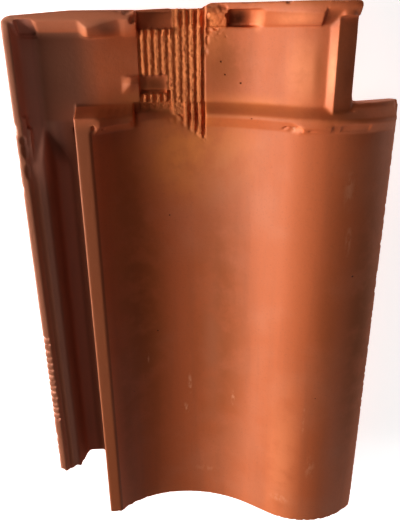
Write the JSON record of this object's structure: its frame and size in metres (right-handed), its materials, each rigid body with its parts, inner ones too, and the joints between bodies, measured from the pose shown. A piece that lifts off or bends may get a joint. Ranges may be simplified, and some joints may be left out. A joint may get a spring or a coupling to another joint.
{
  "type": "clay roof tile",
  "caption": "Single-roll interlocking clay pantile with a side channel, head-lap ribs, hanging nibs, a tail rib and a ground-down strip of saw kerfs at the head.",
  "frame": {"origin": "centre of the bounding box at its base, the bed plane that the nibs and the tail rib stand on", "axes": "+Y up the roof slope from foot edge to head edge, +X across the roof from side channel to roll, +Z out of the roof through the top face"},
  "size_m": [0.2568, 0.415, 0.0718],
  "materials": {
    "fired_clay": "matte unglazed terracotta"
  },
  "bodies": {
    "root": {"roof_tile": "fired_clay"}
  },
  "joints": []
}
